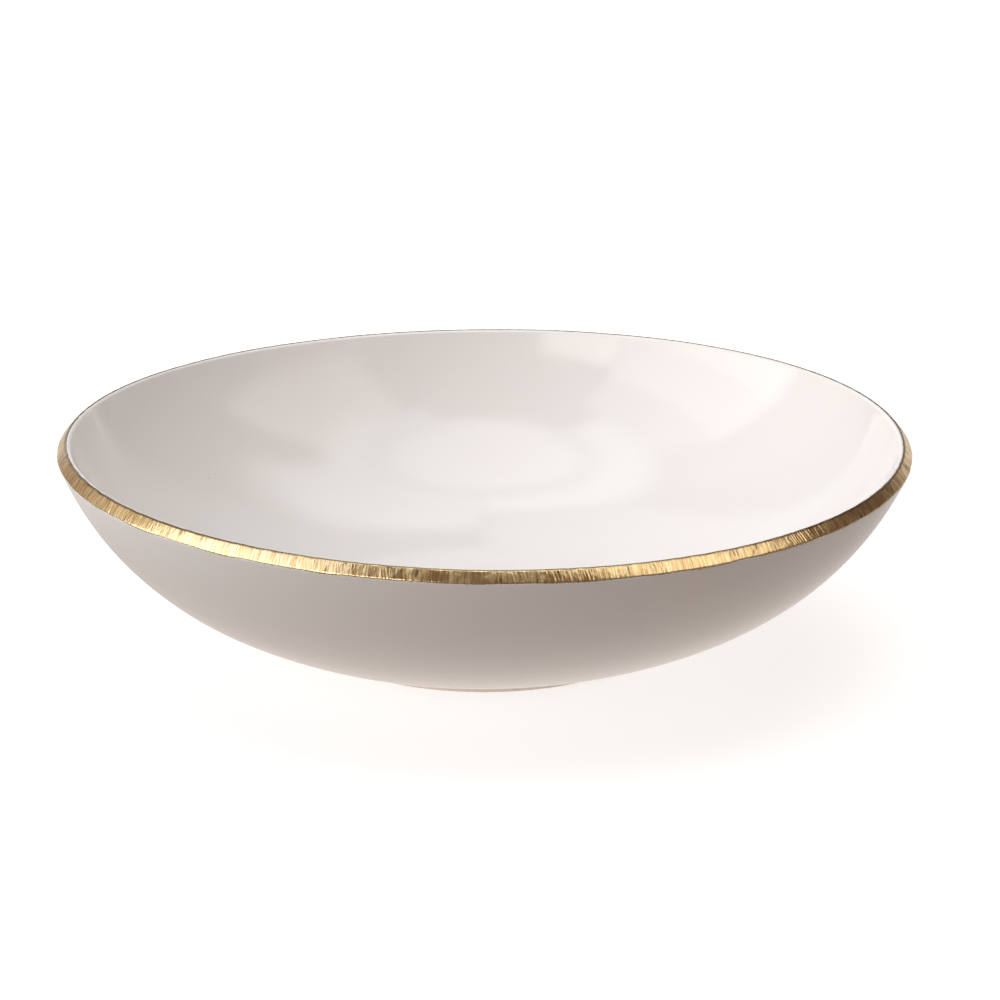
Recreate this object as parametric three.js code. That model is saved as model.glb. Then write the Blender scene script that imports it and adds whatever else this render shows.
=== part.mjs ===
// A porcelain serving bowl: a wide coupe on a low foot ring, glazed inside and out, with gold on its
// bevelled lip. Millimetres, +Z up. The origin is the middle of the foot's resting face, and the bowl's
// front is towards -Y. Every piece is turned about the Z axis from a half section, then eased slightly
// oval, as hand-formed ware is.
import * as THREE from "three";

const { degToRad, lerp } = THREE.MathUtils;

// Driving dimensions
const RIM_RADIUS = 152.5; // the gold at its widest, before the oval
const HEIGHT = 75; // from the table to the top of the lip, before the oval
const FOOT_HEIGHT = 2.6; // from the table to the underside of the body
const FLOOR_HEIGHT = 8; // from the table to the glazed floor inside
const FLOOR_RADIUS = 46; // where the flat floor starts to curve up into the wall
const OVAL = 1.4; // how much the rim gains in radius along its long axis, and loses across it
const SADDLE = 1; // how much the rim dips along its long axis, and rises across it
const OVAL_AXIS = degToRad(24); // the long axis, turned from the front towards +X

// Coats
const GLAZE = 0.4;
const GOLD = 0.3;
const GAP = 0.1; // between a coat and what it lies on, so that their facets never cross

// Outside wall, a curve between two handles
const WALL_START = [67, FOOT_HEIGHT]; // the glaze line at the foot
const WALL_RISE = degToRad(20); // how steeply it leaves the foot
const WALL_FOOT_HANDLE = 27;
const WALL_LIP_HANDLE = 52;
const WALL_LEAN = degToRad(24); // how far it leans out from upright at the lip

// Lip, from the wall over the bevel to the ridge, then down into the bowl
const CORNER_RADIUS = 0.8;
const GOLD_START = degToRad(8); // how far up from level the corner faces where the gold starts
const BEVEL = 3.7; // length of the flat of the bevel
const BEVEL_FALL = degToRad(50); // how far the bevel leans down from level
const RIDGE_RADIUS = 0.7;
const LIP_TOP = 0.3; // level strip on top of the ridge, where the two coats of glaze meet
const ROLL_RADIUS = 1.3; // rounding from there into the bowl

// Inside wall, a curve between two handles
const INNER_LEAN = degToRad(22);
const INNER_LIP_HANDLE = 45;
const INNER_FLOOR_HANDLE = 42;

// Foot ring
const FOOT_OUTER_RADIUS = 65; // just above the table
const FOOT_INNER_RADIUS = 59.4;
const FOOT_FLARE = 1; // how much wider it is on each side where it meets the body
const FOOT_EDGE = 0.6; // how far the worn edges of the resting face are taken back
const WELL_MARGIN = 1; // bare strip between the well's glaze and the foot ring

// Facets
const SEGMENTS = 64; // round the bowl
const WALL_STEPS = 9;
const EDGE_STEPS = 2;

const COLOURS = {
  porcelain: { color: 0xefe9e2, roughness: 0.75, metalness: 0 },
  bareFoot: { color: 0xe9e2d8, roughness: 0.9, metalness: 0 },
  glaze: { color: 0xf4f1ec, roughness: 0.12, metalness: 0 },
  gold: { color: 0xd9ae62, roughness: 0.3, metalness: 1 },
};

const UPRIGHT = Math.PI / 2;

// A point of the half section: its radius and its height.
const point = (radius, height) => new THREE.Vector2(radius, height);

// The point at a distance from another, in a direction given as an angle up from level, outwards.
const along = (from, angle, distance) =>
  point(from.x + distance * Math.cos(angle), from.y + distance * Math.sin(angle));

// Points on an arc, from one angle to another.
const arc = (centre, radius, from, to, steps) =>
  Array.from({ length: steps + 1 }, (_, i) => along(centre, lerp(from, to, i / steps), radius));

// Points on the curve that leaves start in one direction and reaches end in another.
const curve = (start, startAngle, startHandle, end, endAngle, endHandle) =>
  new THREE.CubicBezierCurve(
    start,
    along(start, startAngle, startHandle),
    along(end, endAngle, -endHandle),
    end,
  ).getPoints(WALL_STEPS);

// The glazed line of the outside, from the foot to the ridge, in two parts: the wall, with the part of the
// lip's corner below the gold, and the lip that the gold covers. The bevel is the straight stretch between
// the corner's arc and the ridge's arc.
function outsideLine() {
  const bevelNormal = UPRIGHT - BEVEL_FALL;
  const cornerToRidge = along(
    along(point(0, 0), bevelNormal, CORNER_RADIUS - RIDGE_RADIUS),
    Math.PI - BEVEL_FALL,
    BEVEL,
  );
  const cornerX = RIM_RADIUS - GOLD - CORNER_RADIUS;
  const ridge = point(cornerX + cornerToRidge.x, HEIGHT - GOLD - RIDGE_RADIUS);
  const corner = ridge.clone().sub(cornerToRidge);
  const bareCorner = arc(corner, CORNER_RADIUS, -WALL_LEAN, GOLD_START, EDGE_STEPS);
  const goldCorner = arc(corner, CORNER_RADIUS, GOLD_START, bevelNormal, EDGE_STEPS);
  const ridgeArc = arc(ridge, RIDGE_RADIUS, bevelNormal, UPRIGHT, EDGE_STEPS);
  const start = point(...WALL_START);
  const wallTop = bareCorner[0];
  const wall = curve(start, WALL_RISE, WALL_FOOT_HANDLE, wallTop, UPRIGHT - WALL_LEAN, WALL_LIP_HANDLE);
  return { wall: [...wall, ...bareCorner.slice(1)], lip: [...goldCorner, ...ridgeArc] };
}

// The glazed line of the inside, from just inside the ridge down to the middle of the floor.
function insideLine(ridgeTop) {
  const roll = point(ridgeTop.x - LIP_TOP, ridgeTop.y - ROLL_RADIUS);
  const rollArc = arc(roll, ROLL_RADIUS, UPRIGHT, Math.PI - INNER_LEAN, EDGE_STEPS);
  const floorEdge = point(FLOOR_RADIUS, FLOOR_HEIGHT);
  const top = rollArc.pop();
  const wall = curve(floorEdge, 0, INNER_FLOOR_HANDLE, top, UPRIGHT - INNER_LEAN, INNER_LIP_HANDLE);
  return [...rollArc, ...wall.reverse(), point(0, FLOOR_HEIGHT)];
}

// A line moved square to itself, towards the clay. Lines run up the outside and down the inside.
const moved = (line, distance) =>
  line.map((at, i) => {
    const before = line[Math.max(i - 1, 0)];
    const after = line[Math.min(i + 1, line.length - 1)];
    const run = after.clone().sub(before).normalize();
    const onAxis = at.x === 0;
    return point(onAxis ? 0 : at.x - run.y * distance, at.y + run.x * distance);
  });

// Moves every vertex by its share of the oval: none of it up to the floor's height, and all of it at the
// top of the lip.
function easeOval(geometry) {
  const at = geometry.attributes.position;
  for (let i = 0; i < at.count; i += 1) {
    const [x, y, z] = [at.getX(i), at.getY(i), at.getZ(i)];
    const fromFront = Math.atan2(x, -y);
    const share = Math.max(0, (z - FLOOR_HEIGHT) / (HEIGHT - FLOOR_HEIGHT)) ** 2;
    const swing = share * Math.cos(2 * (fromFront - OVAL_AXIS));
    const widened = 1 + (OVAL / RIM_RADIUS) * swing;
    at.setXYZ(i, x * widened, y * widened, z - SADDLE * swing);
  }
}

// Turns a half section into a named piece. The section closes on itself, or starts and ends on the axis.
function turned(name, section, look) {
  const closed = section[0].x === 0 ? section : [...section, section[0]];
  const geometry = new THREE.LatheGeometry(closed, SEGMENTS);
  geometry.rotateX(UPRIGHT);
  easeOval(geometry);
  const mesh = new THREE.Mesh(geometry, new THREE.MeshStandardMaterial(look));
  mesh.name = name;
  return mesh;
}

const { wall, lip } = outsideLine();
const outside = [...wall, ...lip.slice(1)];
const inside = insideLine(lip.at(-1));

// The bare porcelain under every glaze line, whose first part is outside and whose rest is inside.
const biscuit = moved([...outside, ...inside], GLAZE);

function porcelainBody() {
  const clay = moved([...outside, ...inside], GLAZE + GAP);
  const seatEdge = point(clay[0].x - GLAZE, FOOT_HEIGHT);
  return turned("porcelain_body", [point(0, FOOT_HEIGHT), seatEdge, ...clay], COLOURS.porcelain);
}

function outsideGlaze() {
  const back = biscuit.slice(0, outside.length).reverse();
  return turned("outside_glaze", [...outside, ...back], COLOURS.glaze);
}

function insideGlaze() {
  const back = biscuit.slice(outside.length).reverse();
  return turned("inside_glaze", [...back, ...inside], COLOURS.glaze);
}

function goldBand() {
  const back = moved(lip, -GAP).reverse();
  return turned("gold_band", [...moved(lip, -GOLD), ...back], COLOURS.gold);
}

function footRing() {
  const top = FOOT_HEIGHT - GAP;
  const section = [
    point(FOOT_INNER_RADIUS + FOOT_EDGE, 0),
    point(FOOT_OUTER_RADIUS - FOOT_EDGE, 0),
    point(FOOT_OUTER_RADIUS, FOOT_EDGE),
    point(FOOT_OUTER_RADIUS + FOOT_FLARE, top),
    point(FOOT_INNER_RADIUS - FOOT_FLARE, top),
    point(FOOT_INNER_RADIUS, FOOT_EDGE),
  ];
  return turned("foot_ring", section, COLOURS.bareFoot);
}

function footWellGlaze() {
  const radius = FOOT_INNER_RADIUS - FOOT_FLARE - WELL_MARGIN;
  const top = FOOT_HEIGHT - GAP;
  const section = [
    point(0, top - GLAZE),
    point(radius - GLAZE, top - GLAZE),
    point(radius, top),
    point(0, top),
  ];
  return turned("foot_well_glaze", section, COLOURS.glaze);
}

const bowl = new THREE.Group();
bowl.add(porcelainBody(), footRing());
bowl.add(insideGlaze(), outsideGlaze(), footWellGlaze());
bowl.add(goldBand());

export default bowl;
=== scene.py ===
"""A porcelain serving bowl with a gold lip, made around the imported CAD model.

Metres, +Z up, with the bowl's front towards -Y. Every piece is turned about the Z axis from a half
section, as in the CAD model, but with fine segments and the slight unevenness of hand work.
"""
from math import cos, pi, radians, sin, sqrt

import bpy
import numpy as np
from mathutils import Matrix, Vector

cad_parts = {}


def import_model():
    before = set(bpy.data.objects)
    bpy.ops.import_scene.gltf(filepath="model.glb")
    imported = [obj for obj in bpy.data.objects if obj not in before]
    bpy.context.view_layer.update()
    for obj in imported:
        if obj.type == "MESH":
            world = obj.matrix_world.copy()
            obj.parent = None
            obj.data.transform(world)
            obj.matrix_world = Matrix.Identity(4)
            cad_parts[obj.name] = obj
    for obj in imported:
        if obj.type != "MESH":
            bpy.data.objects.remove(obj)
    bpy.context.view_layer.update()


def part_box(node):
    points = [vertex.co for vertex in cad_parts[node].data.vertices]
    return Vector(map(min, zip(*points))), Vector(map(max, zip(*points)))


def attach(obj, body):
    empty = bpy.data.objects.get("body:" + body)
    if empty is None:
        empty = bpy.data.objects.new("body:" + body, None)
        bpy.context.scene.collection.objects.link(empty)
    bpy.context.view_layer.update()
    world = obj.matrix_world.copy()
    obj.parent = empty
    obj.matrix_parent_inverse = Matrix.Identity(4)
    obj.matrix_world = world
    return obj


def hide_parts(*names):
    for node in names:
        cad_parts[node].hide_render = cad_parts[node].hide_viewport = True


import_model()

MM = 0.001
UPRIGHT = pi / 2
FULL_TURN = 2 * pi

# Coats and gaps, as in the CAD model
GLAZE = 0.4 * MM
GOLD = 0.3 * MM
SADDLE = 1 * MM  # how much the rim dips along its long axis, and rises across it
OVAL_AXIS = radians(24)  # the long axis, turned from the front towards +X

# Outside wall, a curve between two handles
WALL_START_MARGIN = 1 * MM  # bare strip between the foot ring and the glaze line
WALL_RISE = radians(20)
WALL_FOOT_HANDLE = 27 * MM
WALL_LIP_HANDLE = 52 * MM
WALL_LEAN = radians(24)

# Lip
CORNER_RADIUS = 0.8 * MM
GOLD_START = radians(8)  # how far up from level the corner faces where the gold starts
BEVEL = 3.7 * MM
BEVEL_FALL = radians(50)
RIDGE_RADIUS = 0.7 * MM
LIP_TOP = 0.3 * MM
ROLL_RADIUS = 1.3 * MM

# Inside wall, a curve between two handles
INNER_LEAN = radians(22)
INNER_LIP_HANDLE = 45 * MM
INNER_FLOOR_HANDLE = 42 * MM
FLOOR_RADIUS = 46 * MM

# Foot ring
FOOT_FLARE = 1 * MM
WELL_MARGIN = 1 * MM  # bare strip between the well's glaze and the foot ring

# Sizes that the CAD pieces give
gold_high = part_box("gold_band")[1]
RIM_RADIUS = (gold_high.x + gold_high.y) / 2
HEIGHT = gold_high.z - SADDLE
FOOT_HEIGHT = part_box("outside_glaze")[0].z
FLOOR_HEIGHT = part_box("inside_glaze")[0].z + GLAZE
FOOT_TOP_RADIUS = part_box("foot_ring")[1].x
WELL_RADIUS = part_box("foot_well_glaze")[1].x
WELL_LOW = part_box("foot_well_glaze")[0].z


# Half sections

ARC_STEPS = 20
ROLL_STEPS = 30
CURVE_STEPS = 600


def point(radius, height):
    return np.array([radius, height])


def along(start, angle, distance):
    """The point at a distance from another, in a direction given as an angle up from level, outwards."""
    return start + distance * np.array([cos(angle), sin(angle)])


def arc(centre, radius, begin, end, steps):
    return [along(centre, angle, radius) for angle in np.linspace(begin, end, steps + 1)]


def straight(start, end, steps):
    return [start + (end - start) * share for share in np.linspace(0, 1, steps + 1)]


def curve(start, start_angle, start_handle, end, end_angle, end_handle, steps):
    """Points on the curve that leaves start in one direction and reaches end in another."""
    first = along(start, start_angle, start_handle)
    second = along(end, end_angle, -end_handle)
    shares = np.linspace(0, 1, steps + 1)
    return [
        (1 - t) ** 3 * start + 3 * (1 - t) ** 2 * t * first + 3 * (1 - t) * t**2 * second + t**3 * end
        for t in shares
    ]


class Line:
    """A smooth line of the half section, joined from named stretches and measured along its length.

    Lines run up the outside and down the inside, so that their normals point out of the clay.
    """

    def __init__(self, **stretches):
        points = [next(iter(stretches.values()))[0]]
        self.end = {}
        length = 0.0
        for name, stretch in stretches.items():
            points += list(stretch[1:])
            length += np.hypot(*np.diff(stretch, axis=0).T).sum()
            self.end[name] = length
        self.points = np.array(points)
        steps = np.hypot(*np.diff(self.points, axis=0).T)
        self.distance = np.concatenate([[0], np.cumsum(steps)])
        run = np.gradient(self.points, self.distance, axis=0)
        run /= np.hypot(*run.T)[:, None]
        self.normals = np.stack([run[:, 1], -run[:, 0]], axis=1)

    def _read(self, columns, distance):
        return np.stack([np.interp(distance, self.distance, column) for column in columns.T], axis=-1)

    def at(self, distance, offset=0):
        """Points at these distances along the line, moved out of the clay by an offset."""
        normal = self._read(self.normals, distance)
        return self._read(self.points, distance) + normal * np.expand_dims(offset, -1)


def glazed_line():
    """The glaze's surface, from the foot over the lip to the middle of the floor."""
    bevel_normal = UPRIGHT - BEVEL_FALL
    corner_to_ridge = along(
        along(point(0, 0), bevel_normal, CORNER_RADIUS - RIDGE_RADIUS), pi - BEVEL_FALL, BEVEL
    )
    corner_x = RIM_RADIUS - GOLD - CORNER_RADIUS
    ridge = point(corner_x + corner_to_ridge[0], HEIGHT - GOLD - RIDGE_RADIUS)
    corner = ridge - corner_to_ridge
    bare_corner = arc(corner, CORNER_RADIUS, -WALL_LEAN, GOLD_START, ARC_STEPS)
    gold_corner = arc(corner, CORNER_RADIUS, GOLD_START, bevel_normal, ARC_STEPS)
    ridge_arc = arc(ridge, RIDGE_RADIUS, bevel_normal, UPRIGHT, ARC_STEPS)
    start = point(FOOT_TOP_RADIUS + WALL_START_MARGIN, FOOT_HEIGHT)
    top = bare_corner[0]
    lean = UPRIGHT - WALL_LEAN
    wall = curve(start, WALL_RISE, WALL_FOOT_HANDLE, top, lean, WALL_LIP_HANDLE, CURVE_STEPS)
    roll_centre = ridge_arc[-1] - point(LIP_TOP, ROLL_RADIUS)
    roll = arc(roll_centre, ROLL_RADIUS, UPRIGHT, pi - INNER_LEAN, ROLL_STEPS)
    floor_edge = point(FLOOR_RADIUS, FLOOR_HEIGHT)
    lean = UPRIGHT - INNER_LEAN
    inner = curve(floor_edge, 0, INNER_FLOOR_HANDLE, roll[-1], lean, INNER_LIP_HANDLE, CURVE_STEPS)
    return Line(
        wall=wall,
        bare_corner=bare_corner,
        gold_corner=gold_corner,
        bevel=straight(gold_corner[-1], ridge_arc[0], 10),
        ridge=ridge_arc,
        top=[ridge_arc[-1], roll[0]],
        roll=roll,
        inner=inner[::-1],
        floor=straight(floor_edge, point(0, FLOOR_HEIGHT), 100),
    )


GLAZED = glazed_line()
MARK = GLAZED.end
SEAM = (MARK["gold_corner"] + MARK["bevel"]) / 2  # the two coats of glaze meet here, under the gold


def rows(*stretches):
    """Distances along a line, from (end, spacing) pairs that follow a first distance."""
    distances = [stretches[0]]
    for end, spacing in stretches[1:]:
        steps = max(1, round(abs(end - distances[-1]) / spacing))
        distances += list(np.linspace(distances[-1], end, steps + 1)[1:])
    return np.array(distances)


# Uneven shapes, with every random draw seeded

def lumps(seed, shortest, longest, height, count=12):
    """Relief at points in space, as a sum of plane waves."""
    rng = np.random.default_rng(seed)
    direction = rng.normal(size=(count, 3))
    direction /= np.linalg.norm(direction, axis=1)[:, None]
    per_metre = direction * (FULL_TURN / rng.uniform(shortest, longest, count))[:, None]
    phase = rng.uniform(0, FULL_TURN, count)
    return lambda at: height * np.sin(at @ per_metre.T + phase).sum(-1) / sqrt(count)


def rim_waves(turn, seed, shortest, longest, count=12):
    """Uneven waves round the rim, each a whole number of waves, with a mean square of about 1."""
    rng = np.random.default_rng(seed)
    numbers = np.round(FULL_TURN * RIM_RADIUS / rng.uniform(shortest, longest, count))
    phase = rng.uniform(0, FULL_TURN, count)
    total = sum(np.sin(turn * number + shift) for number, shift in zip(numbers, phase))
    return total * sqrt(2 / count)


UNEVEN_WALL = lumps(seed=3, shortest=28 * MM, longest=70 * MM, height=0.05 * MM)


# Meshes

def turns_of(count):
    """The angles of the segments, from the front towards +X."""
    return np.arange(count) * FULL_TURN / count


def in_space(turn, section):
    """Half-section points at these turns, as points in space."""
    radius, height = section[..., 0], section[..., 1]
    return np.stack([radius * np.sin(turn), -radius * np.cos(turn), height], axis=-1)


def ease_oval(at):
    """Moves points by their share of the oval: none up to the floor's height, all at the top of the lip."""
    x, y, z = np.moveaxis(at, -1, 0)
    share = (np.maximum(z - FLOOR_HEIGHT, 0) / (HEIGHT - FLOOR_HEIGHT)) ** 2
    swing = share * np.cos(2 * (np.arctan2(x, -y) - OVAL_AXIS))
    widened = 1 + OVAL / RIM_RADIUS * swing
    return np.stack([x * widened, y * widened, z - SADDLE * swing], axis=-1)


def rim_oval():
    """How much the rim gains in radius along its long axis, from the gold's width and depth."""
    widest_height = HEIGHT - GOLD - RIDGE_RADIUS - (CORNER_RADIUS - RIDGE_RADIUS) * cos(BEVEL_FALL)
    share = ((widest_height - BEVEL * sin(BEVEL_FALL) - FLOOR_HEIGHT) / (HEIGHT - FLOOR_HEIGHT)) ** 2
    return (gold_high.y - gold_high.x) / 2 / cos(2 * OVAL_AXIS) / share


OVAL = rim_oval()


def turned(name, at, closed=True, **notes):
    """A piece from points in space, one section for each turn, that closes on itself or ends on the axis.

    A note is a value for each point, which the piece's material reads by name.
    """
    turns, count = at.shape[:2]
    number = np.arange(turns * count).reshape(turns, count)
    on_axis = np.hypot(at[0, :, 0], at[0, :, 1]) < 0.001 * MM
    number[:, on_axis] = number[0, on_axis]
    if closed:
        number = np.concatenate([number, number[:, :1]], axis=1)
    ahead = np.roll(number, -1, axis=0)
    corners = [number[:, :-1], ahead[:, :-1], ahead[:, 1:], number[:, 1:]]
    used, flat = np.unique(np.stack(corners, axis=-1), return_inverse=True)
    faces = [tuple(dict.fromkeys(corner)) for corner in flat.reshape(-1, 4).tolist()]
    faces = [face for face in faces if len(face) > 2]
    mesh = bpy.data.meshes.new(name)
    mesh.from_pydata(ease_oval(at).reshape(-1, 3)[used].tolist(), [], faces)
    mesh.shade_smooth()
    for key, values in notes.items():
        note = mesh.attributes.new(key, "FLOAT", "POINT")
        note.data.foreach_set("value", np.float32(values.ravel()[used]))
    piece = bpy.data.objects.new(name, mesh)
    bpy.context.scene.collection.objects.link(piece)
    return piece


def finish_piece(piece, node, material):
    """Gives a piece its material, and ties it to the CAD node that it stands for."""
    piece.data.materials.append(material)
    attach(piece, "root")
    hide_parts(node)


def rounded(distance, width):
    """The rise of a round edge, from 0 at the edge to 1 at a width from it."""
    return np.sqrt(1 - (1 - np.clip(distance / width, 0, 1)) ** 2)


def shell(turn, front, back, front_offset, back_offset):
    """A closed coat on the glazed line: its front and its back are rows of distances along the line."""
    distance = np.concatenate([front, back], axis=1)
    offset = np.concatenate([front_offset, np.full(back.shape, back_offset)], axis=1)
    lift = UNEVEN_WALL(in_space(turn[:, None], GLAZED.at(distance)))
    return in_space(turn[:, None], GLAZED.at(distance, offset + lift))


def for_each(turn, distances):
    return np.broadcast_to(distances, (len(turn), len(distances)))


# Pieces of the bowl

BOND = 0.02 * MM  # between a coat's back and the clay or glaze under it
FILM = 0.03 * MM  # the thinnest that a coat runs out to at its edge
GLAZE_TURNS = 480
BODY_TURNS = 256
FOOT_TURNS = 480
WELL_TURNS = 360
WALL_ROW = 1.5 * MM  # spacing of the rows down a wall
BACK_ROW = 8 * MM  # spacing of the rows on a coat's hidden back
LINE_HEIGHT = 0.9 * MM  # from the foot to the glaze line, before it wanders
LINE_WANDER = 0.3 * MM
BEAD_HEIGHT = 0.12 * MM  # how much thicker the glaze is where it gathers
BEAD_WIDTH = 0.7 * MM
BEAD_FROM_LINE = 1.1 * MM


def outside_glaze():
    """The line at the foot is wiped by hand, so it wanders, and the glaze gathers in a bead above it."""
    turn = turns_of(GLAZE_TURNS)
    start = LINE_HEIGHT + LINE_WANDER * rim_waves(turn, seed=11, shortest=9 * MM, longest=60 * MM)
    lip = [(MARK["wall"], WALL_ROW), (MARK["gold_corner"], 0.12 * MM), (SEAM, 0.3 * MM)]
    nominal = rows(0, (3 * MM, 0.25 * MM), *lip)
    front = start[:, None] + nominal * (1 - start[:, None] / SEAM)
    from_edge = front - start[:, None]
    bead = BEAD_HEIGHT * np.exp(-((from_edge - BEAD_FROM_LINE) / BEAD_WIDTH) ** 2)
    offset = np.maximum((GLAZE + bead) * rounded(from_edge, 0.8 * MM), FILM) - GLAZE
    back = rows(SEAM, (MARK["wall"], WALL_ROW), (2 * MM, BACK_ROW))
    back = np.concatenate([for_each(turn, back), start[:, None]], axis=1)
    return turned("outside_glaze_coat", shell(turn, front, back, offset, -GLAZE))


def inside_glaze():
    """One even coat from the seam under the gold down to the middle of the floor."""
    turn = turns_of(GLAZE_TURNS)
    lip = [(MARK["ridge"], 0.15 * MM), (MARK["top"], 0.15 * MM), (MARK["roll"], 0.2 * MM)]
    bowl = [(MARK["inner"], WALL_ROW), (MARK["floor"], 2 * MM)]
    front = rows(SEAM + FILM, *lip, *bowl)
    back = rows(MARK["floor"], (MARK["inner"], BACK_ROW), (MARK["roll"], BACK_ROW), (SEAM + FILM, 0.5 * MM))
    front, back = for_each(turn, front), for_each(turn, back)
    return turned("inside_glaze_coat", shell(turn, front, back, np.zeros(front.shape), -GLAZE))


def porcelain_body():
    """The fired clay, which shows only in the bare strips on both sides of the foot ring."""
    turn = turns_of(BODY_TURNS)
    lip = [(MARK["wall"], 3 * MM), (MARK["roll"], 0.4 * MM)]
    distance = for_each(turn, rows(0, *lip, (MARK["inner"], 3 * MM), (MARK["floor"], 4 * MM)))
    lift = UNEVEN_WALL(in_space(turn[:, None], GLAZED.at(distance)))
    clay = GLAZED.at(distance, lift - GLAZE - BOND)
    seat_edge = point(FOOT_TOP_RADIUS + WALL_START_MARGIN - GLAZE, FOOT_HEIGHT)
    seat = straight(point(0, FOOT_HEIGHT), seat_edge, 24)
    section = np.concatenate([np.broadcast_to(seat, (len(turn), *np.shape(seat))), clay], axis=1)
    return turned("porcelain_clay", in_space(turn[:, None], section), closed=False)


WORN_EDGE = 0.6 * MM  # rounding of the resting face's edges
GROOVE_SPACING = 0.7 * MM  # between the turning marks
GROOVE_DEPTH = 0.012 * MM


def foot_section():
    """The ring's section, from the middle of its resting face up the outside and back down the inside."""
    middle = (FOOT_TOP_RADIUS + WELL_RADIUS + WELL_MARGIN) / 2
    half_width = FOOT_TOP_RADIUS - FOOT_FLARE - middle
    edge = arc(point(half_width - WORN_EDGE, WORN_EDGE), WORN_EDGE, -UPRIGHT, 0, 8)
    top = point(half_width + FOOT_FLARE, FOOT_HEIGHT + BOND)
    flare = curve(edge[-1], UPRIGHT, 1 * MM, top, radians(30), 0.6 * MM, 8)
    face = straight(point(0, 0), edge[0], 12)
    side = np.array(face[:-1] + edge[:-1] + flare)
    across = straight(top, point(0, top[1]), 3)[1:]
    side = np.concatenate([side, across])
    mirrored = side[-2:0:-1] * (-1, 1)
    return np.concatenate([side, mirrored]) + (middle, 0)


def foot_ring():
    """The resting face carries the turning marks and the wear of the bare clay."""
    turn = turns_of(FOOT_TURNS)
    section = foot_section()
    section = np.broadcast_to(section, (len(turn), *section.shape)).copy()
    lowest = section[..., 1] < WORN_EDGE
    groove = (1 + np.sin(FULL_TURN * section[..., 0] / GROOVE_SPACING + turn[:, None])) / 2
    worn = lumps(seed=21, shortest=2 * MM, longest=9 * MM, height=0.02 * MM)
    at = in_space(turn[:, None], section)
    at[..., 2] += lowest * (GROOVE_DEPTH * groove + np.abs(worn(at)))
    return turned("bare_foot_ring", at)


WELL_WANDER = 0.2 * MM  # how far the edge of the well's glaze wanders, from a mean this far inside it
WELL_INSET = 0.6 * MM
WELL_EDGE = 1.2 * MM  # width of its rounded edge


def foot_well_glaze():
    """Glaze in the shallow well under the bowl, with a rounded edge that wanders inside the foot ring."""
    turn = turns_of(WELL_TURNS)
    wander = WELL_WANDER * rim_waves(turn, seed=31, shortest=20 * MM, longest=90 * MM)
    radius = (WELL_RADIUS - WELL_INSET + wander)[:, None]
    inwards = rows(0, (6 * MM, 0.25 * MM), (WELL_RADIUS, 3 * MM))[::-1] / WELL_RADIUS
    low = FOOT_HEIGHT - (FOOT_HEIGHT - WELL_LOW) * rounded(inwards * radius, WELL_EDGE)
    section = np.stack([(1 - inwards) * radius, low], axis=-1)
    at = in_space(turn[:, None], section)
    at[:, :-1, 2] += UNEVEN_WALL(at)[:, :-1] * (1 - inwards[:-1]) / 2
    top = at[:, -1:] * (0, 0, 1)
    return turned("foot_well_coat", np.concatenate([at, top], axis=1), closed=False)


GOLD_TURNS = 4000
GOLD_ROWS = 20
BACK_ROWS = 4
CROWN = 0.08 * MM  # how much thicker the gold is along its middle
HIGH_MARGIN = 0.12 * MM  # how far the gold reaches past the top of the ridge
FINE_MARK = 0.013 * MM
COARSE_MARK = 0.01 * MM
DARK_REFLECTION_LOW = 0.4 * MM  # width of the painted dark reflection along the lower edge, which fades right across
DARK_REFLECTION_HIGH = 0.9 * MM  # width of the one along the ridge
DARK_REFLECTION_FADE = 0.25 * MM  # part of that width over which it fades
DENTS = lumps(seed=41, shortest=3 * MM, longest=8 * MM, height=0.02 * MM, count=16)
DIMPLES = lumps(seed=42, shortest=1.1 * MM, longest=2.2 * MM, height=0.01 * MM, count=24)


def brushed(turn, across):
    """Marks brushed across the band, stronger in some stretches of the rim than in others."""
    slant = 0.25
    slanted = turn + slant * across / RIM_RADIUS
    fine = rim_waves(slanted, seed=51, shortest=0.8 * MM, longest=1.4 * MM, count=24)
    coarse = rim_waves(slanted, seed=52, shortest=1.8 * MM, longest=4 * MM)
    strength = 0.6 + 0.6 * rim_waves(turn, seed=53, shortest=12 * MM, longest=60 * MM)
    return np.clip(strength, 0.1, 1.6) * (FINE_MARK * fine + COARSE_MARK * coarse)


def gold_band():
    """The gold is laid on by hand, so its lower edge wanders. Its note marks a painted dark reflection
    along the lower edge and the ridge.
    """
    turn = turns_of(GOLD_TURNS)
    drip = rim_waves(turn, seed=61, shortest=5 * MM, longest=40 * MM)
    nick = rim_waves(turn, seed=62, shortest=1.2 * MM, longest=3 * MM)
    low = MARK["bare_corner"] + 0.1 * MM * drip + 0.04 * MM * nick
    wander = rim_waves(turn, seed=63, shortest=3 * MM, longest=20 * MM)
    high = MARK["ridge"] + HIGH_MARGIN + 0.05 * MM * wander
    across = (1 - np.cos(np.linspace(0, pi, GOLD_ROWS))) / 2
    front = low[:, None] + (high - low)[:, None] * across
    from_low, from_high = front - low[:, None], high[:, None] - front
    film = rounded(from_low, 0.25 * MM) * rounded(from_high, 0.3 * MM)
    marks = brushed(turn[:, None], from_low)
    for relief in (DENTS, DIMPLES):
        marks = marks + relief(in_space(turn[:, None], GLAZED.at(front)))
    crown = CROWN * 4 * across * (1 - across)
    offset = FILM + (GOLD - CROWN - FILM + crown + marks) * film
    back = front[:, np.linspace(GOLD_ROWS - 1, 0, BACK_ROWS).round().astype(int)]
    # Painted dark reflection: 1 at the lower edge and along the ridge, fading to 0 across the band, and 1
    # on the hidden back.
    burnt = np.maximum(1 - from_low / DARK_REFLECTION_LOW, (DARK_REFLECTION_HIGH - from_high) / DARK_REFLECTION_FADE)
    burnt = np.concatenate([np.clip(burnt, 0, 1), np.ones(back.shape)], axis=1)
    return turned("gold_lip", shell(turn, front, back, offset, BOND / 2), burnt=burnt)


# Materials

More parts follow.
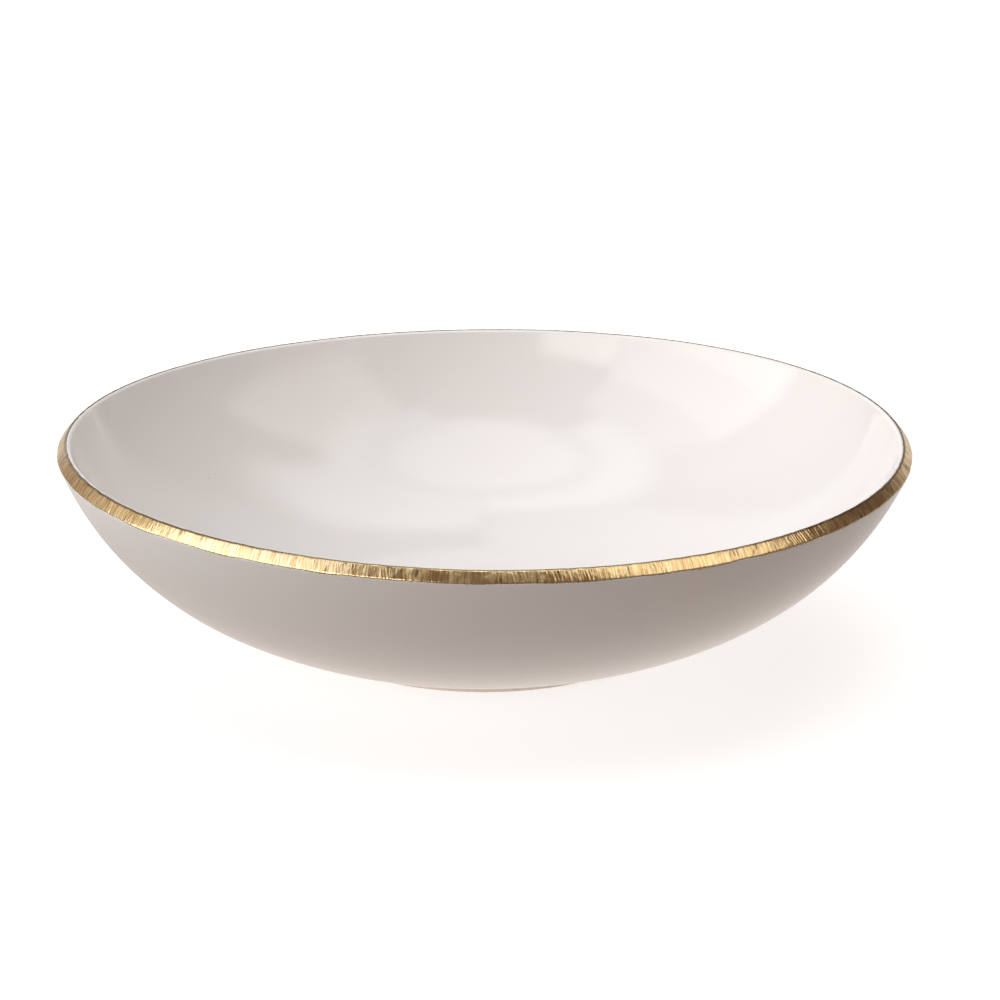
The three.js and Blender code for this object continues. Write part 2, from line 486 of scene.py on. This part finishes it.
class Nodes:
    """Builds a node tree from its first node on: each input takes a value or another node's output."""

    def __init__(self, owner):
        owner.use_nodes = True
        self.tree = owner.node_tree
        self.tree.nodes.clear()

    def add(self, kind, inputs=None, output=0, **settings):
        """Adds a node, with its inputs by socket, and returns one of its outputs."""
        node = self.tree.nodes.new(kind)
        for key, value in settings.items():
            setattr(node, key, value)
        for socket, value in (inputs or {}).items():
            if isinstance(value, bpy.types.NodeSocket):
                self.tree.links.new(value, node.inputs[socket])
            else:
                node.inputs[socket].default_value = value
        return node.outputs[output] if len(node.outputs) else node

    def math(self, operation, *values):
        return self.add("ShaderNodeMath", dict(enumerate(values)), operation=operation)

    def place(self):
        return self.add("ShaderNodeTexCoord", output="Object")

    def distance(self, start):
        """How far the shaded point is from another, in metres."""
        ends = {0: self.place(), 1: start}
        return self.add("ShaderNodeVectorMath", ends, output="Value", operation="DISTANCE")

    def noise(self, at, size, detail=2.0, roughness=0.5):
        """Smooth noise from 0 to 1, whose lumps are about this size across."""
        inputs = {"Vector": at, "Scale": 1 / size, "Detail": detail, "Roughness": roughness}
        return self.add("ShaderNodeTexNoise", inputs)

    def spread(self, value, low, high, start=0.0, end=1.0):
        """The value's range from low to high, spread smoothly over start to end."""
        inputs = {"Value": value, "From Min": low, "From Max": high, "To Min": start, "To Max": end}
        return self.add("ShaderNodeMapRange", inputs, interpolation_type="SMOOTHSTEP")

    def mix(self, share, first, second):
        """A colour between two others. A mix node's colours are its sockets 6 and 7, and its output 2."""
        return self.add("ShaderNodeMix", {0: share, 6: first, 7: second}, output=2, data_type="RGBA")

    def bump(self, height, depth, normal=None):
        """Bumps this deep, in metres, on top of another bump's normal."""
        inputs = {"Height": height, "Distance": depth, "Strength": 1.0}
        if normal is not None:
            inputs["Normal"] = normal
        return self.add("ShaderNodeBump", inputs)


def colour(red, green, blue):
    return (red, green, blue, 1.0)


def finish(name, build):
    """A material whose Principled shader takes the inputs that build returns."""
    material = bpy.data.materials.new(name)
    nodes = Nodes(material)
    shader = nodes.add("ShaderNodeBsdfPrincipled", build(nodes))
    nodes.add("ShaderNodeOutputMaterial", {"Surface": shader})
    return material


GLAZE_WARM = colour(0.80, 0.783, 0.772)
GLAZE_COOL = colour(0.79, 0.786, 0.782)
IRON_SPECK = colour(0.30, 0.22, 0.15)
SPECK_SPACING = 13 * MM
SPECK_SHARE = 0.14  # of the cells this far apart that hold a speck


def glaze_inputs(nodes):
    """A clear glossy glaze over white porcelain: faint clouds of tone, iron specks and soft orange peel."""
    at = nodes.place()
    clouds = nodes.spread(nodes.noise(at, 55 * MM, detail=3), 0.3, 0.7)
    tone = nodes.mix(clouds, GLAZE_WARM, GLAZE_COOL)
    cells = {"Vector": at, "Scale": 1 / SPECK_SPACING}
    from_centre = nodes.add("ShaderNodeTexVoronoi", cells)
    cell_colour = nodes.add("ShaderNodeTexVoronoi", cells, output="Color")
    chance = nodes.add("ShaderNodeSeparateColor", {0: cell_colour})
    rare = nodes.math("GREATER_THAN", chance, 1 - SPECK_SHARE)
    speck = nodes.math("MULTIPLY", rare, nodes.spread(from_centre, 0.035, 0.012))
    blurred = nodes.math("MULTIPLY", speck, 0.45)
    smears = nodes.noise(at, 22 * MM, detail=4)
    return {
        "Base Color": nodes.mix(blurred, tone, IRON_SPECK),
        "Roughness": nodes.spread(smears, 0.3, 0.75, 0.05, 0.11),
        "IOR": 1.55,
        "Normal": nodes.bump(nodes.noise(at, 2.6 * MM, detail=2), 0.004 * MM),
    }


def round_rim(nodes, stretch):
    """Coordinates that run round the rim in metres, and up it, pressed together to draw marks out."""
    flat = nodes.add("ShaderNodeVectorMath", {0: nodes.place(), 1: (1, 1, 0)}, operation="MULTIPLY")
    circle = nodes.add("ShaderNodeVectorMath", {0: flat}, operation="NORMALIZE")
    ring = nodes.add("ShaderNodeVectorMath", {0: circle, "Scale": RIM_RADIUS}, operation="SCALE")
    upwards = (0, 0, 1 / stretch)
    height = nodes.add("ShaderNodeVectorMath", {0: nodes.place(), 1: upwards}, operation="MULTIPLY")
    return nodes.add("ShaderNodeVectorMath", {0: ring, 1: height}, operation="ADD")


GOLD_BRIGHT = colour(0.96, 0.80, 0.47)
GOLD_DEEP = colour(0.74, 0.52, 0.24)
# Colour of the dark scores, and of the painted dark reflection along the gold's edges.
GOLD_SCORE_AND_DARK_REFLECTION = colour(0.11, 0.065, 0.033)


def gold_inputs(nodes):
    """Fired gold, brushed across the lip: fine streaks and dark scores, with a painted dark reflection
    along the lower edge and the ridge.
    """
    streaks = nodes.noise(round_rim(nodes, stretch=12), 0.6 * MM, detail=1.5)
    scores = nodes.noise(round_rim(nodes, stretch=5), 0.9 * MM, detail=1)
    patches = nodes.noise(nodes.place(), 6 * MM, detail=2)
    # The note holds the painted dark reflection along the lower edge and the ridge. It and the dark scores
    # both darken the gold's colour.
    burnt = nodes.add("ShaderNodeAttribute", attribute_name="burnt", output="Fac")
    streaked = nodes.mix(nodes.spread(streaks, 0.35, 0.65), GOLD_DEEP, GOLD_BRIGHT)
    strength = nodes.spread(patches, 0.4, 0.62, 0.2, 0.75)
    worn = nodes.math("MULTIPLY", nodes.spread(scores, 0.54, 0.7), strength)
    dark = nodes.math("MAXIMUM", worn, nodes.math("MULTIPLY", burnt, 0.92))
    return {
        "Base Color": nodes.mix(dark, streaked, GOLD_SCORE_AND_DARK_REFLECTION),
        "Metallic": 1.0,
        "Roughness": nodes.spread(patches, 0.3, 0.7, 0.15, 0.28),
        "Normal": nodes.bump(streaks, 0.04 * MM),
    }


CLAY_WARM = colour(0.78, 0.73, 0.66)
CLAY_PALE = colour(0.84, 0.80, 0.74)


def clay_inputs(nodes):
    """Fired porcelain without glaze: matt, with a fine tooth."""
    at = nodes.place()
    clouds = nodes.spread(nodes.noise(at, 9 * MM, detail=4), 0.3, 0.7)
    return {
        "Base Color": nodes.mix(clouds, CLAY_WARM, CLAY_PALE),
        "Roughness": nodes.spread(nodes.noise(at, 4 * MM, detail=3), 0.3, 0.7, 0.62, 0.82),
        "Normal": nodes.bump(nodes.noise(at, 0.35 * MM, detail=3), 0.02 * MM),
    }


FOOT_WARM = colour(0.74, 0.68, 0.60)
FOOT_PALE = colour(0.83, 0.78, 0.71)
FOOT_RUBBED = colour(0.52, 0.48, 0.43)
KILN_SAND = colour(0.42, 0.34, 0.25)


def foot_inputs(nodes):
    """Bare clay that was sanded smooth and stood on tables: grains of kiln sand and grey rub marks."""
    at = nodes.place()
    grain = nodes.noise(at, 0.5 * MM, detail=4, roughness=0.7)
    rubbed = nodes.spread(nodes.noise(at, 7 * MM, detail=5), 0.5, 0.75, 0.0, 0.5)
    sand = nodes.spread(nodes.noise(at, 1.1 * MM, detail=1), 0.68, 0.76, 0.0, 0.55)
    clean = nodes.mix(nodes.spread(grain, 0.3, 0.7), FOOT_WARM, FOOT_PALE)
    greyed = nodes.mix(rubbed, clean, FOOT_RUBBED)
    return {
        "Base Color": nodes.mix(sand, greyed, KILN_SAND),
        "Roughness": nodes.spread(rubbed, 0.0, 0.5, 0.86, 0.6),
        "Normal": nodes.bump(grain, 0.03 * MM),
    }


glaze = finish("white_glaze", glaze_inputs)
clay = finish("biscuit_porcelain", clay_inputs)
finish_piece(porcelain_body(), "porcelain_body", clay)
finish_piece(foot_ring(), "foot_ring", finish("bare_foot", foot_inputs))
finish_piece(inside_glaze(), "inside_glaze", glaze)
finish_piece(outside_glaze(), "outside_glaze", glaze)
finish_piece(foot_well_glaze(), "foot_well_glaze", glaze)
finish_piece(gold_band(), "gold_band", finish("fired_gold", gold_inputs))


# Stage, light and camera

TABLE_HALF = 6
TABLE_BRIGHTEST = (0.015, 0, 0)  # the middle of the bright part, under the bowl
BRIGHT_END = (0.09, 0.21)  # how far from there its light starts and stops falling
TABLE_DARKEST = (0.02, -0.20, 0)  # the middle of the dim part, in front of the bowl
DARK_END = (0.12, 0.42)  # how far from there its light starts and stops rising
TABLE_UNDER = colour(0.80, 0.71, 0.655)
TABLE_AROUND = colour(0.22, 0.17, 0.145)
TABLE_FAR = colour(0.74, 0.69, 0.655)


def table():
    """A plain pale table, which is white to the camera and throws a warmer, dimmer light on the bowl."""
    mesh = bpy.data.meshes.new("table")
    corners = [(x * TABLE_HALF, y * TABLE_HALF, 0) for x, y in ((-1, -1), (1, -1), (1, 1), (-1, 1))]
    mesh.from_pydata(corners, [], [(0, 1, 2, 3)])
    piece = bpy.data.objects.new("table", mesh)
    bpy.context.scene.collection.objects.link(piece)
    material = bpy.data.materials.new("table")
    nodes = Nodes(material)
    seen = nodes.add("ShaderNodeLightPath", output="Is Camera Ray")
    lit = nodes.add("ShaderNodeBsdfDiffuse", {"Color": colour(0.6, 0.6, 0.6)})
    lift = nodes.add("ShaderNodeEmission", {"Color": colour(1, 1, 1), "Strength": 0.6})
    white = nodes.add("ShaderNodeAddShader", {0: lit, 1: lift})
    near = nodes.distance(TABLE_BRIGHTEST)
    far = nodes.distance(TABLE_DARKEST)
    around = nodes.mix(nodes.spread(far, *DARK_END), TABLE_AROUND, TABLE_FAR)
    bounced = nodes.mix(nodes.spread(near, *BRIGHT_END), TABLE_UNDER, around)
    glow = nodes.add("ShaderNodeEmission", {"Color": bounced})
    surface = nodes.add("ShaderNodeMixShader", {0: seen, 1: glow, 2: white})
    nodes.add("ShaderNodeOutputMaterial", {"Surface": surface})
    mesh.materials.append(material)


CAMERA_TARGET = Vector((5.6 * MM, 0, 48.8 * MM))
CAMERA_DISTANCE = 1001.6 * MM
CAMERA_PITCH = radians(17.7)  # how far it looks down


def camera():
    """A 100 mm lens about a metre away, looking a little down at the bowl."""
    lens = bpy.data.cameras.new("camera")
    lens.lens = 100
    lens.sensor_width = 36
    view = bpy.data.objects.new("camera", lens)
    bpy.context.scene.collection.objects.link(view)
    back = Vector((0, -cos(CAMERA_PITCH), sin(CAMERA_PITCH)))
    view.location = CAMERA_TARGET + CAMERA_DISTANCE * back
    view.rotation_euler = (UPRIGHT - CAMERA_PITCH, 0, 0)
    bpy.context.scene.camera = view


# Each patch of the studio's walls and ceiling: its sides, in degrees from behind the camera towards +X,
# its lowest and highest elevation, how soft its edges are, and its light.
# The real studio isn't known. These were tuned until the bowl looked as it does in the photo.
STUDIO = {
    "white wall at the back left": ((-129, -98), (3, 61), 6, (0.66, 0.58, 0.51)),
    "grey wall at the back left": ((-150, -129), (3, 61), 4, (0.45, 0.36, 0.32)),
    "key softbox, lower part": ((-104, -46), (-1, 27), 3, (2.8, 2.7, 2.6)),
    "key softbox, middle part": ((-104, -48), (26, 46), 3, (2.05, 2.0, 2.15)),
    "key softbox, upper part": ((-102, -48), (45, 59), 3, (1.3, 1.26, 1.38)),
    "small softbox at the front left": ((-47, -21), (8, 40), 4, (2.8, 2.65, 2.5)),
    "fill softbox on the right": ((43, 99), (34, 66), 4, (1.32, 1.19, 1.11)),
    "foot of the fill softbox": ((30, 76), (24, 36), 5, (0.7, 0.62, 0.57)),
    "black flag on the right": ((105, 143), (10, 45), 4, (0.13, 0.085, 0.07)),
    "overhead scrim": ((-181, 181), (72, 91), 4, (2.33, 2.35, 2.33)),
    "scrim on the left": ((-181, -60), (59, 71), 4, (2.1, 2.12, 2.1)),
    "scrim on the right": ((62, 181), (61, 71), 4, (2.0, 2.02, 2.0)),
    "scrim at the front right": ((31, 62), (65, 72), 3, (1.75, 1.75, 1.72)),
    "scrim at the back right": ((116, 181), (48, 68), 8, (1.75, 1.77, 1.74)),
    "backdrop on the left": ((-181, -147), (3, 61), 4, (1.05, 1.02, 0.99)),
    "backdrop on the right": ((141, 181), (9, 48), 5, (0.45, 0.43, 0.41)),
    "foot of the backdrop on the right": ((143, 181), (-3, 9), 3, (0.8, 0.71, 0.65)),
    "white board low on the right": ((55, 136), (-3, 8), 3, (0.4, 0.33, 0.3)),
}
STUDIO_WALLS = (0.19, 0.135, 0.108)


def world():
    """A plain studio with dim warm walls, soft patches of light, and white where the camera looks."""
    studio = bpy.data.worlds.new("studio")
    bpy.context.scene.world = studio
    nodes = Nodes(studio)
    towards = nodes.add("ShaderNodeTexCoord", output="Generated")
    x, y, z = (nodes.add("ShaderNodeSeparateXYZ", {0: towards}, output=axis) for axis in "XYZ")
    azimuth = nodes.math("DEGREES", nodes.math("ARCTAN2", x, nodes.math("MULTIPLY", y, -1.0)))
    elevation = nodes.math("DEGREES", nodes.math("ARCSINE", z))

    def within(angle, low, high, soft):
        """1 between two angles and 0 outside them, with soft edges."""
        rise = nodes.spread(angle, low - soft, low + soft)
        return nodes.math("MULTIPLY", rise, nodes.spread(angle, high - soft, high + soft, 1.0, 0.0))

    light = colour(*STUDIO_WALLS)
    for sides, heights, soft, strength in STUDIO.values():
        share = nodes.math("MULTIPLY", within(azimuth, *sides, soft), within(elevation, *heights, soft))
        light = nodes.mix(share, light, colour(*strength))
    seen = nodes.add("ShaderNodeLightPath", output="Is Camera Ray")
    white = nodes.add("ShaderNodeBackground", {"Color": colour(1, 1, 1)})
    around = nodes.add("ShaderNodeBackground", {"Color": light})
    surface = nodes.add("ShaderNodeMixShader", {0: seen, 1: around, 2: white})
    nodes.add("ShaderNodeOutputWorld", {"Surface": surface})


table()
camera()
world()
bpy.context.scene.view_settings.view_transform = "Standard"
